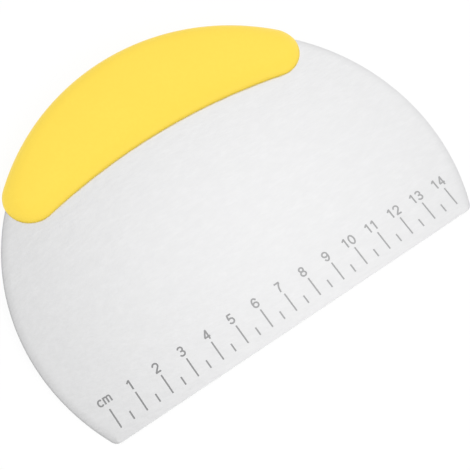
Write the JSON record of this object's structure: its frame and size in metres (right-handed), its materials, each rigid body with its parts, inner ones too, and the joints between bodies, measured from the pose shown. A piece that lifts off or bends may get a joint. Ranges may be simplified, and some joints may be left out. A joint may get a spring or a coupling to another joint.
{
  "type": "dough scraper",
  "caption": "Half-round steel dough scraper with a crescent plastic grip on its arc and a centimetre scale engraved along its straight edge.",
  "frame": {"origin": "middle of the straight scraping edge, on the blade's mid-plane", "axes": "+X along the scraping edge towards the higher numbers, +Y from the edge towards the grip, +Z out of the face that carries the scale"},
  "size_m": [0.1646, 0.1212, 0.0122],
  "materials": {
    "blade_steel": "fine brushed stainless steel, satin",
    "grip_plastic": "satin moulded plastic, warm yellow"
  },
  "bodies": {
    "root": {"blade": "blade_steel", "front_handle_shell": "grip_plastic", "rear_handle_shell": "grip_plastic"}
  },
  "joints": []
}
